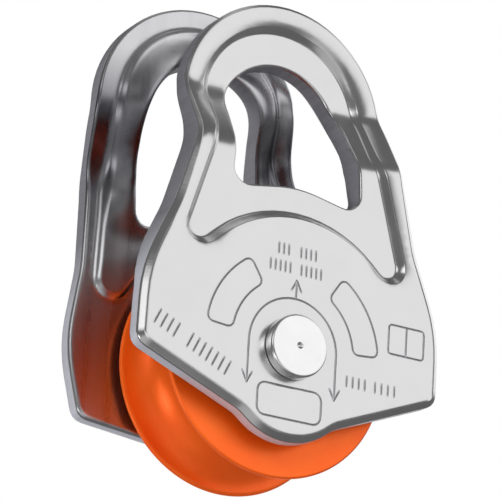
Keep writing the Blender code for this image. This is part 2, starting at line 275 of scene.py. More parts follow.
# Etched marks on a plate --------------------------------------------------

def arc_line(radius, start, end, step=4.0):
    """Points of an arc about the axle, in degrees from the right."""
    count = max(2, round(abs(end - start) / step))
    angles = np.radians(np.linspace(start, end, count + 1))
    return [Vector((radius * math.cos(a), radius * math.sin(a))) for a in angles]


def arrow(points, heading, length=1.75, spread=27.0):
    """A line with two strokes back from its last point."""
    strokes = [points]
    for side in (-1, 1):
        back = math.radians(heading + 180 + side * spread)
        away = Vector((math.cos(back), math.sin(back)))
        strokes.append([points[-1], points[-1] + away * length])
    return strokes


def ticks(start, end, count, height):
    """Upright strokes in place of a word."""
    start, end = Vector(start), Vector(end)
    step = (end - start) / (count - 1)
    up = Vector((-step.y, step.x)).normalized() * height / 2
    return [[start + step * i - up, start + step * i + up] for i in range(count)]


def curved_slot(inner, outer, low, high, corner):
    """Outline of a curved slot about the axle, with rounded corners (degrees)."""
    def turn(centre_r, angle, start, end):
        a = math.radians(angle)
        centre = Vector((math.cos(a), math.sin(a))) * centre_r
        return [centre + p for p in arc_line(corner, start, end, step=15.0)]

    far, near = outer - corner, inner + corner
    far_in = math.degrees(math.asin(corner / far))
    near_in = math.degrees(math.asin(corner / near))
    top, bottom = high - far_in, low + far_in
    points = arc_line(outer, bottom, top)
    points += turn(far, top, top, high + 90)
    points += turn(near, high - near_in, high + 90, high - near_in + 180)
    points += arc_line(inner, high - near_in, low + near_in)
    points += turn(near, low + near_in, low + near_in + 180, low + 270)
    points += turn(far, bottom, low + 270, bottom + 360)
    return points


def box_line(left, top, right, bottom, corner):
    """Outline of a box with rounded corners."""
    return rounded(((left, top, corner), (right, top, corner), (right, bottom, corner),
                    (left, bottom, corner)))


def plate_marks():
    """Open and closed lines etched into a plate's outer face: (points, closed)."""
    open_lines = []
    for end in (0, 180):
        side = math.cos(math.radians(end)) * ARROW_R
        open_lines += arrow(arc_line(ARROW_R, 90, end) + [Vector((side, ARROW_END))], -90)
    open_lines += arrow([Vector((0.0, ARROW_R)), Vector((0.0, ARROW_TOP))], 90)
    open_lines.append([Vector((BOOK_FOLD, BOOK_BOX[1])), Vector((BOOK_FOLD, BOOK_BOX[3]))])
    for start, end, count, height in WORDS:
        open_lines += ticks(start, end, count, height)
    closed_lines = [curved_slot(*SLOT_RADII, *turns, SLOT_CORNER) for turns in SLOT_TURNS]
    closed_lines += [box_line(*LOWER_BOX), box_line(*BOOK_BOX)]
    return ([(even(line, OPEN_LINE_STEP, closed=False) + MARK_SHIFT, False)
             for line in open_lines]
            + [(even(line, CLOSED_LINE_STEP) + MARK_SHIFT, True) for line in closed_lines])


# Plate surface --------------------------------------------------------------

def jog_at(height, low, high, reach):
    """Inward shift of a face at a height above the axle, both bends rounded."""
    def bent(t):
        middle = (t + reach) ** 2 / (4 * reach)
        return np.where(t <= -reach, 0.0, np.where(t >= reach, t, middle))

    return JOG / (high - low) * (bent(height - low) - bent(height - high))


def rounding(distance, radius):
    """Drop of a rounded edge at a distance in from it."""
    t = np.clip(1 - distance / radius, 0.0, 1.0)
    return radius * (1 - np.sqrt(1 - t ** 2))


def smooth(t):
    """Smooth step from 0 to 1."""
    t = np.clip(t, 0.0, 1.0)
    return t * t * (3 - 2 * t)


def ramp(value, start, width):
    """Smooth step from 0 at a start to 1 a width further on."""
    return smooth((value - start) / width)


def edge_scale(height):
    """The coined edge is full size on the body and finer round the loop."""
    return 1.0 - EDGE_FINER * ramp(height, *EDGE_FINER_FADE)


def step_scale(points):
    """The pad's step is wider along the arc round the sheave."""
    radius = np.hypot(points[:, 0], points[:, 1])
    return STEP_WIDTH + ARC_STEP_WIDTH * smooth((ARC_STEP_R - radius) / ARC_STEP_FADE)


def pad_recess(points, to_pad):
    """Depth of the pressed pad and of the rim's roll down to it."""
    across, height = np.abs(points[:, 0]), points[:, 1]
    roll = np.clip(1 - (to_pad - ROLL_START) / ROLL_WIDTH, 0.0, 1.0) ** 2
    beside_pad = np.maximum(ramp(across, *ROLL_FROM_MIDDLE), ramp(height, *ROLL_FROM_ARC))
    roll_depth = np.interp(height, ROLL_HEIGHTS, ROLL_DEPTHS)
    roll_depth *= beside_pad * ramp(height, *ROLL_FROM_FOOT)
    step = np.interp(to_pad / step_scale(points), *zip(*PAD_STEP))
    return roll_depth * roll + (PAD_DEPTH - roll_depth) * step


def coined_edge(height, to_rim):
    """Drop of the chamfer and crease along the outer face's rim."""
    size = edge_scale(height)
    return np.interp(to_rim / size, *zip(*EDGE_STEP)) * size


def axle_dish(points):
    """Depth of the cone round an axle head."""
    radius = np.hypot(points[:, 0], points[:, 1])
    return DISH_DEPTH * np.clip((DISH_R - radius) / (DISH_R - DISH_FLOOR_R), 0.0, 1.0)


def pad_boss(height, to_pad):
    """How far the pad stands out on the inner face."""
    boss = np.interp(height, BOSS_HEIGHTS, BOSS_DEPTHS)
    return boss * (1 - ramp(to_pad, BOSS_START, BOSS_WIDTH))


def eye_swell(height, to_eye):
    """How far the inner face swells out round the eye."""
    swell = np.interp(height, SWELL_HEIGHTS, SWELL_DEPTHS)
    return swell * (1 - np.clip(to_eye / SWELL_WIDTH, 0.0, 1.0) ** 2) ** 2


def left_flange(points, slanted, to_rim):
    """How far the left edge stands in on the inner face."""
    flange = np.interp(slanted, FLANGE_HEIGHTS, FLANGE_DEPTHS)
    beside_rim = 1 - ramp(to_rim, FLANGE_START, FLANGE_WIDTH)
    return flange * (ramp(-points[:, 0], *FLANGE_SIDE) * beside_rim)


def plate_faces(points, shape):
    """Depths of both faces below the plate's outer plane, and distances to the marks."""
    to_rim = distance_to(points, shape["rim"])
    to_eye = distance_to(points, shape["eye"])
    to_pad = distance_to(points, shape["pad"])
    to_pad[ring_inside(points, shape["pad"])] *= -1
    mark = np.full(len(points), FAR)
    for line, closed in shape["marks"]:
        mark = np.minimum(mark, distance_to(points, line, closed))
    height = points[:, 1]
    slanted = height - BEND_SLANT * points[:, 0]
    reach = np.interp(points[:, 0], BEND_SIDES, BEND_REACH)
    eye_edge = rounding(to_eye, EYE_ROUND)
    outer = jog_at(slanted, *OUTER_BENDS, reach) + pad_recess(points, to_pad)
    outer += coined_edge(height, to_rim) + eye_edge
    outer += axle_dish(points)
    outer += MARK_DEPTH * np.clip(1 - mark / MARK_HALF, 0.0, 1.0)
    inner = PLATE_T + jog_at(slanted, *INNER_BENDS, INNER_REACH) + pad_boss(height, to_pad)
    inner += eye_swell(height, to_eye)
    inner += left_flange(points, slanted, to_rim)
    inner -= rounding(to_rim, INNER_ROUND) + eye_edge
    return outer, inner, mark


def plate_points():
    """Plan points of a plate, the constrained loops, and the shape lines."""
    rim = even(rounded(mirrored(PLATE_CORNERS)), POINT_STEP)
    eye = even(rounded(mirrored(EYE_CORNERS)), POINT_STEP)
    pad = even(rounded(PAD_CORNERS), PAD_POINT_STEP)
    shape = {"rim": rim, "eye": eye, "pad": pad, "marks": plate_marks()}
    size = edge_scale(rim[:, 1])[:, None]
    loops = [rim, eye]
    loops += [beside(rim, -size * d) for d, _ in EDGE_STEP[1:]]
    loops += [beside(eye, d) for d in EYE_ROWS]
    widen = step_scale(pad)[:, None]
    loops += [beside(pad, s * widen) for s, _ in PAD_STEP]
    loops += [beside(pad, s) for s in PAD_ROWS]
    sets = [beside(pad, s) for s in LOOSE_PAD_ROWS]
    sets += [beside(rim, -size * LOOSE_RIM_ROW), beside(eye, LOOSE_EYE_ROW)]
    turns = np.linspace(0, math.tau, CIRCLE_POINTS, endpoint=False)
    circle = np.column_stack([np.sin(turns), np.cos(turns)])
    loops.append(circle * BORE_R)
    loops += [circle * r for r in DISH_ROWS]
    lines = []
    for line, closed in shape["marks"]:
        lines.append((line, closed))
        for out in (MARK_HALF, MARK_HALF + MARK_GUARD):
            if closed:
                lines += [(beside(line, side), True) for side in (-out, out)]
            else:
                lines.append((capsule(line, out), True))
    sets = spread_out(sets, loops)
    grid = plan_grid(shape, loops + sets)
    return shape, loops, sets, lines, grid


def spread_out(rows, taken):
    """The rows of loose points, without those close to a loop or to an earlier row."""
    kept = []
    for row in rows:
        kept.append(row[nearest(row, np.concatenate(taken + kept)) > ROW_GAP])
    return kept


def plan_grid(shape, crowded):
    """Staggered grid over the plate, left out where other points already are."""
    rows = np.arange(GRID_LOW, LOOP_TOP, GRID_STEP * ROW_RATIO)
    columns = np.arange(-GRID_HALF_WIDTH, GRID_HALF_WIDTH, GRID_STEP)
    points = np.array([(x + (i % 2) * GRID_STEP / 2, z) for i, z in enumerate(rows)
                       for x in columns])
    near = np.full(len(points), FAR)
    for line in crowded:
        near = np.minimum(near, nearest(points, line))
    for line, closed in shape["marks"]:
        near = np.minimum(near, distance_to(points, line, closed) - MARK_EXTRA)
    return points[near > GRID_GAP]


def nearest(points, others):
    """Distance from each point to the nearest of the others."""
    gaps = points[:, None, :] - others[None, :, :]
    return np.sqrt((gaps ** 2).sum(2)).min(1)


def triangulated():
    """Constrained triangulation of the plate's plan, without its two holes."""
    shape, loops, sets, lines, grid = plate_points()
    points, edges = [], []

    def add(chain, closed):
        first = len(points)
        points.extend(chain.tolist())
        edges.extend((first + i, first + i + 1) for i in range(len(chain) - 1))
        if closed:
            edges.append((len(points) - 1, first))

    for loop in loops:
        add(loop, True)
    for line, closed in lines:
        add(line, closed)
    for extra in sets + [grid]:
        points.extend(extra.tolist())
    result = delaunay_2d_cdt([Vector(p) for p in points], edges, [], 0, MESH_TOLERANCE)
    plan = np.array([tuple(v) for v in result[0]])
    faces = np.array(result[2])
    middle = plan[faces].mean(1)
    keep = ring_inside(middle, shape["rim"]) & ~ring_inside(middle, shape["eye"])
    keep &= np.hypot(middle[:, 0], middle[:, 1]) > BORE_R * BORE_SHARE
    faces = faces[keep]
    used = np.unique(faces)
    index = np.full(len(plan), -1)
    index[used] = np.arange(len(used))
    return shape, plan[used], index[faces]


FACE_MAT, EDGE_MAT, ETCHED_MAT, INSIDE_MAT = range(4)     # order of a plate's materials


def plate_mesh():
    """Front plate about the axle: outer face at y = -OUTER_HALF, closed and rounded."""
    shape, plan, faces = triangulated()
    outer, inner, mark = plate_faces(plan, shape)
    a, b, c = (plan[faces[:, corner]] for corner in (0, 1, 2))
    area = (b[:, 0] - a[:, 0]) * (c[:, 1] - a[:, 1]) - (b[:, 1] - a[:, 1]) * (c[:, 0] - a[:, 0])
    faces[area < 0] = faces[area < 0][:, ::-1]
    count = len(plan)
    verts = [(x * MM, (y - OUTER_HALF) * MM, z * MM)
             for side in (outer, inner) for (x, z), y in zip(plan, side)]
    tris = [tuple(f) for f in faces.tolist()]
    backs = [(k + count, j + count, i + count) for i, j, k in tris]
    half_edges = {(f[k], f[(k + 1) % 3]) for f in tris for k in range(3)}
    rims = [(i, j) for i, j in half_edges if (j, i) not in half_edges]
    rims.sort()
    walls = [(j, i, i + count, j + count) for i, j in rims]
    mesh = bpy.data.meshes.new("side_plate")
    mesh.from_pydata(verts, [], tris + backs + walls)
    etched = mark[faces].mean(1) < MARK_HALF * ETCHED_SHARE
    slots = [ETCHED_MAT if e else FACE_MAT for e in etched]
    slots += [INSIDE_MAT] * len(backs) + [EDGE_MAT] * len(walls)
    mesh.polygons.foreach_set("material_index", slots)
    return mesh


# Pieces -----------------------------------------------------------------

SHARP_ANGLE = math.radians(38)
SCREW_MERGE = 1e-6           # metres
TURNED_STEPS, HEAD_STEPS, CAGE_STEPS, SHEAVE_STEPS = 96, 128, 144, 180


def linked_object(name, data):
    """An object of some data, linked to the scene."""
    obj = bpy.data.objects.new(name, data)
    bpy.context.scene.collection.objects.link(obj)
    return obj


def shown(name, mesh, body, node, mats, tilt=0.0, offset=(0.0, 0.0)):
    """Put a piece on the axle, on its body, in place of its CAD node."""
    obj = linked_object(name, mesh)
    obj.location = AXLE + Vector((offset[0] * MM, 0.0, offset[1] * MM))
    obj.rotation_euler.x = tilt
    for mat in mats:
        mesh.materials.append(mat)
    mesh.shade_smooth()
    mesh.set_sharp_from_angle(angle=SHARP_ANGLE)
    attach(obj, body)
    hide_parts(node)
    return obj


def build_plates(mats):
    """Front plate, and the rear one: the same plate turned round and swung open."""
    mesh = plate_mesh()
    rear = mesh.copy()
    rear.transform(Matrix.Rotation(-REAR_SWING, 4, "Y") @ Matrix.Rotation(math.pi, 4, "Z"))
    shown("front_cheek", mesh, "front_plate", "front_side_plate", mats)
    shown("rear_cheek", rear, "rear_plate", "rear_side_plate", mats)


def evaluated_mesh(obj):
    """The object's mesh with its modifiers applied."""
    bpy.context.view_layer.update()
    graph = bpy.context.evaluated_depsgraph_get()
    return bpy.data.meshes.new_from_object(obj.evaluated_get(graph))


def turned_mesh(name, profile, steps, closed=True):
    """Turn a profile of (radius, height) points; heights count towards the front."""
    mesh = bpy.data.meshes.new(name)
    points = [(p[0] * MM, 0.0, p[1] * MM) for p in profile]
    edges = [(i, i + 1) for i in range(len(points) - 1)]
    if closed:
        edges.append((len(points) - 1, 0))
    mesh.from_pydata(points, edges, [])
    obj = linked_object(name, mesh)
    screw = obj.modifiers.new("Turn", "SCREW")
    screw.axis = "Z"
    screw.angle = math.tau
    screw.steps = screw.render_steps = steps
    screw.use_merge_vertices = True
    screw.merge_threshold = SCREW_MERGE
    solid = evaluated_mesh(obj)
    bpy.data.objects.remove(obj, do_unlink=True)
    work = bmesh.new()
    work.from_mesh(solid)
    bmesh.ops.recalc_face_normals(work, faces=work.faces)
    work.to_mesh(solid)
    work.free()
    return solid


def build_turned(name, body, node, mat, profile, steps=TURNED_STEPS, closed=True):
    """One turned piece, with its profile's heights along the axle."""
    mesh = turned_mesh(name, profile, steps, closed)
    return shown(name, mesh, body, node, [mat], tilt=math.pi / 2)


def ring(inner, outer, high, low, edge):
    """Rounded ring section between two radii and two heights."""
    return rounded(((inner, high, edge), (outer, high, edge), (outer, low, edge),
                    (inner, low, edge)), step=math.radians(30))


PIN_R, HEAD_R, SPIGOT_R, GAP = 3.5, 4.5, 2.5, 0.25
SEAT_GAP = 0.15              # between a head's foot and its dish's floor
HEAD_SEAT = OUTER_HALF - DISH_DEPTH + SEAT_GAP
HEAD_DROP, HEAD_EDGE, FOOT_EDGE = 0.05, 0.38, 0.1
# Front head's face from the dimple outwards: (radius, drop from the highest ring, fillet)
HEAD_PROFILE = ((0.0, 0.32, 0), (0.10, 0.30, 0.05), (0.48, 0.01, 0.15), (3.2, 0.0, 8.0),
                (HEAD_R, HEAD_DROP, HEAD_EDGE))
HEAD_ARC_STEP = math.radians(15)


def build_axle(mat):
    """Pin with its front head and stepped end, and the rear head riveted on."""
    shank_end, spigot_end = -HEAD_SEAT + GAP, -HEAD_FACE + GAP
    face = tuple((radius, HEAD_FACE - drop, corner) for radius, drop, corner in HEAD_PROFILE)
    pin = rounded(face + (
        (HEAD_R, HEAD_SEAT, FOOT_EDGE), (PIN_R, HEAD_SEAT, 0), (PIN_R, shank_end, FOOT_EDGE),
        (SPIGOT_R, shank_end, 0), (SPIGOT_R, spigot_end, 0.3), (0.0, spigot_end, 0)),
        HEAD_ARC_STEP, closed=False)
    build_turned("axle", "axle", "axle_pin", mat, pin, HEAD_STEPS, closed=False)
    head = rounded((
        (SPIGOT_R + GAP, -HEAD_SEAT, 0.05), (HEAD_R, -HEAD_SEAT, FOOT_EDGE),
        (HEAD_R, -HEAD_FACE + HEAD_DROP, HEAD_EDGE), (SPIGOT_R + GAP, -HEAD_FACE, 0.2)),
        HEAD_ARC_STEP)
    build_turned("rear_head", "axle", "axle_rear_head", mat, head, HEAD_STEPS)


WASHER_R, SLEEVE_R, RING_EDGE = 7.5, 5.0, 0.15


def build_stack(washer_mat, sleeve_mat):
    """Thrust washer and spacer sleeve on each side of the bearing."""
    for side, sign in (("front", 1), ("rear", -1)):
        high, low = sorted((sign * WASHER_OUT, sign * WASHER_IN), reverse=True)
        build_turned(f"{side}_washer", "axle", f"{side}_thrust_washer",
                     washer_mat, ring(BORE_R, WASHER_R, high, low, RING_EDGE))
        high, low = sorted((sign * SLEEVE_OUT, sign * SLEEVE_IN), reverse=True)
        build_turned(f"{side}_sleeve", "axle", f"{side}_spacer_sleeve",
                     sleeve_mat, ring(BORE_R, SLEEVE_R, high, low, RING_EDGE))


TREAD_R, GROOVE_R, RIM_ROUND, CHAMFER = 11.0, 6.55, 0.35, 0.6
BEARING_R = 8.5
SHIELD_R, SHIELD_OUTER_R, SHIELD_OUT, SHIELD_IN, SHIELD_EDGE = 5.45, 6.7, 2.8, 2.4, 0.1
CAGE_R, CAGE_OUTER_R, CAGE_FRONT, CAGE_REAR, CAGE_EDGE = 5.6, 6.55, 2.15, -0.7, 0.12
PITCH_R, BALL_R, RACE_R = 6.075, 1.45, 1.7
INNER_SHOULDER_R, OUTER_SHOULDER_R = 5.2, 6.95
POCKET_LENGTH = 4.0          # of the cutter for one pocket of the cage
BALLS = 8


def arc_points(centre_r, centre_h, radius, start, end, count):
    """Arc in a turned profile, as (radius, height) points."""
    angles = [math.radians(start + (end - start) * i / count) for i in range(count + 1)]
    return [(centre_r + radius * math.cos(a), centre_h + radius * math.sin(a)) for a in angles]


def sheave_profile():
    """Round groove between two flanges, and a bore with chamfered mouths."""
    rim_h = SHEAVE_HALF - RIM_ROUND
    edge = math.degrees(math.asin((rim_h - RIM_ROUND) / GROOVE_R))
    front_rim = arc_points(FLANGE_R - RIM_ROUND, rim_h, RIM_ROUND, 90, -60, count=12)
    groove = arc_points(TREAD_R + GROOVE_R, 0.0, GROOVE_R, 180 - edge, 180 + edge, count=60)
    bore = BEARING_R + GAP
    side = [(bore, SHEAVE_HALF - CHAMFER), (bore + CHAMFER, SHEAVE_HALF),
            (FLANGE_R - CHAMFER, SHEAVE_HALF)]
    outer = side + front_rim + groove[:len(groove) // 2]
    lower = [(r, -h) for r, h in reversed(outer)]
    return outer + [(TREAD_R, 0.0)] + lower


def build_sheave(mat):
    build_turned("grooved_wheel", "sheave", "sheave", mat, sheave_profile(),
                 SHEAVE_STEPS)


def race_profile(bore, shoulder):
    """Bearing ring section whose shoulder side carries the ball groove."""
    swing = math.degrees(math.acos(abs(PITCH_R - shoulder) / RACE_R))
    middle = 180.0 if shoulder < PITCH_R else 0.0
    groove = arc_points(PITCH_R, 0.0, RACE_R, middle - swing, middle + swing, count=16)
    if shoulder > PITCH_R:
        groove.reverse()
    return [(bore, BEARING_HALF), (shoulder, BEARING_HALF)] + groove + [
        (shoulder, -BEARING_HALF), (bore, -BEARING_HALF)]


def build_bearing(steel, cage_mat):
    """Races, shields, balls and cage."""
    build_turned("inner_race", "axle", "bearing_inner_ring", steel,
                 race_profile(BORE_R, INNER_SHOULDER_R))
    build_turned("outer_race", "sheave", "bearing_outer_ring", steel,
                 race_profile(BEARING_R, OUTER_SHOULDER_R))
    for side, high, low in (("front", SHIELD_OUT, SHIELD_IN), ("rear", -SHIELD_IN, -SHIELD_OUT)):
        build_turned(f"{side}_shield", "sheave", f"bearing_{side}_shield",
                     steel, ring(SHIELD_R, SHIELD_OUTER_R, high, low, SHIELD_EDGE))
    angles = [math.tau * i / BALLS for i in range(BALLS)]
    for i, angle in enumerate(angles):
        work = bmesh.new()
        bmesh.ops.create_uvsphere(work, u_segments=32, v_segments=18, radius=BALL_R * MM)
        mesh = bpy.data.meshes.new(f"ball_{i + 1}")
        work.to_mesh(mesh)
        work.free()
        shown(f"ball_{i + 1}", mesh, "ball_cage", f"bearing_ball_{i + 1}",
              [steel], offset=(PITCH_R * math.cos(angle), PITCH_R * math.sin(angle)))
    build_cage(angles, cage_mat)


def build_cage(angles, mat):
    """Crown cage with a round pocket for each ball."""
    section = ring(CAGE_R, CAGE_OUTER_R, CAGE_FRONT, CAGE_REAR, CAGE_EDGE)
    cage = linked_object("cage", turned_mesh("cage", section, CAGE_STEPS))
    tool = bmesh.new()
    for angle in angles:
        spoke = (Matrix.Rotation(angle, 4, "Z") @ Matrix.Translation((PITCH_R * MM, 0, 0))
                 @ Matrix.Rotation(math.pi / 2, 4, "Y"))
        bmesh.ops.create_cone(tool, cap_ends=True, segments=40, radius1=RACE_R * MM,
                              radius2=RACE_R * MM, depth=POCKET_LENGTH * MM, matrix=spoke)
    cutter_mesh = bpy.data.meshes.new("pockets")
    tool.to_mesh(cutter_mesh)
    tool.free()
    cutter = linked_object("pockets", cutter_mesh)
    cut = cage.modifiers.new("Pockets", "BOOLEAN")
    cut.operation = "DIFFERENCE"
    cut.object = cutter
    mesh = evaluated_mesh(cage)
    for item in (cage, cutter):
        bpy.data.objects.remove(item, do_unlink=True)
    shown("crown_cage", mesh, "ball_cage", "bearing_cage", [mat],
          tilt=math.pi / 2)


# Materials --------------------------------------------------------------

class Nodes:
    """Short-hand for adding nodes to a tree; inputs are values or other nodes' outputs."""

    def __init__(self, owner):
        owner.use_nodes = True
        self.tree = owner.node_tree

    def node(self, kind, inputs=(), **settings):
        made = self.tree.nodes.new("ShaderNode" + kind)
        for key, value in settings.items():
            setattr(made, key, value)
        for key, value in dict(inputs).items():
            if isinstance(value, bpy.types.NodeSocket):
                self.tree.links.new(value, made.inputs[key])
            else:
                made.inputs[key].default_value = value
        return made

    def math(self, operation, first, second, clamp=False):
        return self.node("Math", {0: first, 1: second}, operation=operation,
                         use_clamp=clamp).outputs[0]


class Shader(Nodes):
    """One node material."""

    def __init__(self, name, colour, metallic, roughness):
        self.mat = bpy.data.materials.new(name)
        super().__init__(self.mat)
        self.base = self.tree.nodes["Principled BSDF"]
        self.base.inputs["Base Color"].default_value = (*colour, 1.0)
        self.base.inputs["Metallic"].default_value = metallic
        self.base.inputs["Roughness"].default_value = roughness
        self.height = None

    def place(self, stretch=(1.0, 1.0, 1.0), spin=(0.0, 0.0, 0.0)):
        """Coordinates fixed to the piece, in metres before they are stretched and spun."""
        where = self.node("TexCoord").outputs["Object"]
        return self.node("Mapping", {"Vector": where, "Scale": stretch, "Rotation": spin}
                         ).outputs["Vector"]

    def turned_place(self):
        """Coordinates that don't change round the axle: radius and height."""
        where = self.node("TexCoord").outputs["Object"]
        flat = self.node("VectorMath", {0: where, 1: (1.0, 1.0, 0.0)}, operation="MULTIPLY")
        radius = self.node("VectorMath", {0: flat.outputs[0]}, operation="LENGTH")
        high = self.node("SeparateXYZ", {0: where}).outputs["Z"]
        return self.node("CombineXYZ", {"X": radius.outputs["Value"], "Y": high}).outputs[0]

    def noise(self, where, scale, detail=3.0, rough=0.55):
        return self.node("TexNoise", {"Vector": where, "Scale": scale, "Detail": detail,
                                      "Roughness": rough}).outputs["Fac"]

    def span(self, value, low, high, to_low, to_high):
        """Value from one range stretched over another."""
        return self.node("MapRange", {0: value, 1: low, 2: high, 3: to_low, 4: to_high}
                         ).outputs[0]

    def spread(self, noise, to_low, to_high):
        """Noise, which is mostly between 0.3 and 0.7, stretched over a range."""
        return self.span(noise, 0.3, 0.7, to_low, to_high)

    def up(self):
        """Height above the axle, in metres."""
        return self.node("SeparateXYZ", {0: self.place()}).outputs["Z"]

    def tint(self, factor, first, second):
        mix = self.node("Mix", {0: factor, 6: (*first, 1.0), 7: (*second, 1.0)},
                        data_type="RGBA")
        self.tree.links.new(mix.outputs[2], self.base.inputs["Base Color"])

    def roughen(self, value):
        self.tree.links.new(value, self.base.inputs["Roughness"])

    def bump(self, value, depth_mm, strength=1.0):
        inputs = {"Height": value, "Distance": depth_mm * MM, "Strength": strength}
        if self.height is not None:
            inputs["Normal"] = self.height
        self.height = self.node("Bump", inputs).outputs["Normal"]
        self.tree.links.new(self.height, self.base.inputs["Normal"])


# Heights above the axle (metres) where the painted shade on the plates' inner faces and edges
# fades, from dark to bright
INSIDE_SHADE_TOP, INSIDE_SHADE_FOOT = (0.034, 0.044), (0.027, 0.014)
EDGE_SHADE_FOOT = (0.016, 0.006)


def plate_face_material():
    """Tumbled aluminium: soft mottling, fine pitting and faint crossed hairlines."""
    s = Shader("tumbled_aluminium", (0.80, 0.80, 0.81), 1.0, 0.27)
    where = s.place()
    mottle = s.noise(where, 160.0, 4.0)
    s.tint(s.spread(mottle, 0.0, 1.0), (0.745, 0.74, 0.742), (0.785, 0.78, 0.785))
    s.roughen(s.spread(mottle, 0.18, 0.25))
    s.bump(s.noise(where, 420.0, 3.0), 0.02, 0.5)
    s.bump(s.noise(where, 2600.0, 2.0), 0.004, 0.5)
    for spin, stretch in ((0.5, (40.0, 1.0, 900.0)), (-0.9, (30.0, 1.0, 1100.0))):
        hair = s.noise(s.place(stretch, (0.0, spin, 0.0)), 3.0, 1.0)
        s.bump(s.span(hair, 0.55, 0.75, 0.0, 1.0), 0.0025, 0.6)
    return s.mat


def plate_inside_material():
    """Inner faces: duller, darkened all over by painted shade that is darkest between the loop
    and the foot, with rolling streaks.
    """
    s = Shader("shaded_inner_aluminium", (0.50, 0.50, 0.52), 1.0, 0.30)
    streaks = s.noise(s.place((420.0, 420.0, 30.0)), 1.0, 3.0)
    height = s.up()
    loop = s.span(height, *INSIDE_SHADE_TOP, 0.0, 1.0)
    foot = s.span(height, *INSIDE_SHADE_FOOT, 0.0, 0.95)
    bright = s.math("MAXIMUM", loop, foot)
    streaked = s.spread(streaks, -0.12, 0.12)
    bright = s.math("ADD", bright, streaked, clamp=True)
    # painted shade: inner faces darkened by height, darkest between the loop and the foot
    s.tint(bright, (0.22, 0.22, 0.24), (0.74, 0.74, 0.76))
    s.roughen(s.spread(streaks, 0.24, 0.36))
    s.bump(s.noise(s.place(), 420.0, 3.0), 0.02, 0.5)
    s.bump(streaks, 0.01, 0.4)
    return s.mat


def plate_edge_material():
    """Sheared edge: streaks across the sheet's thickness, with painted shade darkening it up the
    legs and painted light at the foot.
    """
    s = Shader("sheared_and_shaded_aluminium", (0.58, 0.58, 0.64), 0.65, 0.48)
    streaks = s.noise(s.place((1500.0, 120.0, 1500.0)), 1.0, 4.0)
    # painted shade up the legs, painted light at the foot
    foot = s.span(s.up(), *EDGE_SHADE_FOOT, 0.08, 0.9)
    streaked = s.span(streaks, 0.3, 0.75, -0.08, 0.1)
    s.tint(s.math("ADD", foot, streaked, clamp=True), (0.22, 0.22, 0.245), (0.62, 0.62, 0.69))
    s.roughen(s.spread(streaks, 0.42, 0.55))
    s.bump(streaks, 0.012, 0.7)
    s.bump(s.noise(s.place(), 3000.0, 2.0), 0.006, 0.5)
    return s.mat


def etched_material():
    """Floor of the etched strokes: bare metal with a fine grain."""
    s = Shader("etched_aluminium", (0.62, 0.62, 0.64), 1.0, 0.36)
    grain = s.noise(s.place(), 4000.0, 2.0)
    s.tint(s.spread(grain, 0.0, 1.0), (0.54, 0.54, 0.56), (0.70, 0.70, 0.72))
    s.bump(grain, 0.006, 0.6)
    return s.mat


def sheave_material():
    """Orange anodising over fine turning marks."""
    s = Shader("orange_anodised", (0.94, 0.14, 0.010), 0.60, 0.33)
    s.base.inputs["Coat Weight"].default_value = 0.2
    s.base.inputs["Coat Roughness"].default_value = 0.22
    lines = s.noise(s.turned_place(), 5200.0, 2.0)
    mottle = s.noise(s.place(), 140.0, 4.0)
    s.tint(s.spread(mottle, 0.0, 1.0), (0.95, 0.115, 0.006), (0.98, 0.140, 0.008))
    s.roughen(s.spread(lines, 0.29, 0.37))
    s.bump(lines, 0.003, 0.4)
    s.bump(s.noise(s.place(), 2400.0, 2.0), 0.003, 0.4)
    return s.mat


def turned_metal(name, dark, light, low, high):
    """Turned and polished metal: rings about the axle and a slight mottling."""
    s = Shader(name, light, 1.0, (low + high) / 2)
    lines = s.noise(s.turned_place(), 4200.0, 3.0)
    mottle = s.noise(s.place(), 300.0, 3.0)
    s.tint(s.spread(mottle, 0.0, 1.0), dark, light)
    s.roughen(s.spread(lines, low, high))
    s.bump(lines, 0.004, 0.5)
    return s.mat


def polymer(name, dark, light):
    """Moulded polymer with a fine skin texture."""
    s = Shader(name, light, 0.0, 0.5)
    grain = s.noise(s.place(), 1800.0, 3.0)
    s.tint(s.spread(grain, 0.0, 1.0), dark, light)
    s.roughen(s.spread(grain, 0.42, 0.58))
    s.bump(grain, 0.01, 0.5)
    return s.mat


# Studio -----------------------------------------------------------------

# Places in the studio are in metres. Soft boxes of the surroundings: middle and half width
# round the object (0 is the front, 90 the right), lowest and highest elevation, all in
# degrees, and brightness
BOXES = (
    (36, 29, -8, 48, 0.98),        # faces of the plates
    (-38, 13, 6, 29, 1.50),        # left chamfers
    (-60, 11, -36, -20, 3.0),      # highlight on the sheave's side
    (-41, 38, -66, -22, 0.50),     # bottom chamfers
    (-7, 23, -32, -8, 0.60),       # low in front
    (-151, 14, 6, 45, 0.55),       # left walls
    (108, 32, 12, 45, 1.10),       # right chamfers
    (180, 58, -26, 2, 0.75),       # rear faces
    (0, 180, 78, 90, 0.55),        # overhead
)
SOFTNESS = 6.0                     # half width of a box's blurred edge
AMBIENT = 0.14
BACKDROP = 1.0
FLOOR_Z, FLOOR_SIZE = -0.42, 30.0
FLOOR_GLOW = 0.45                  # keeps the floor pale and lights the undersides
# Lamps: name, place, diameter, power in watts and spread in degrees
LAMPS = (
    ("top", (-0.35, -0.75, 0.55), 0.6, 6.0, 180),
    ("low", (-0.85, -0.40, -0.36), 0.35, 0.90, 50),
)
# Camera: place, direction, roll in degrees and focal length in millimetres
CAMERA_AT = (-0.1841, -0.3311, -0.1481)
CAMERA_LOOK = (0.4575, 0.8295, 0.3206)
CAMERA_ROLL = 3.8
LENS, SENSOR = 200.5, 36.0
NEAREST = 0.01


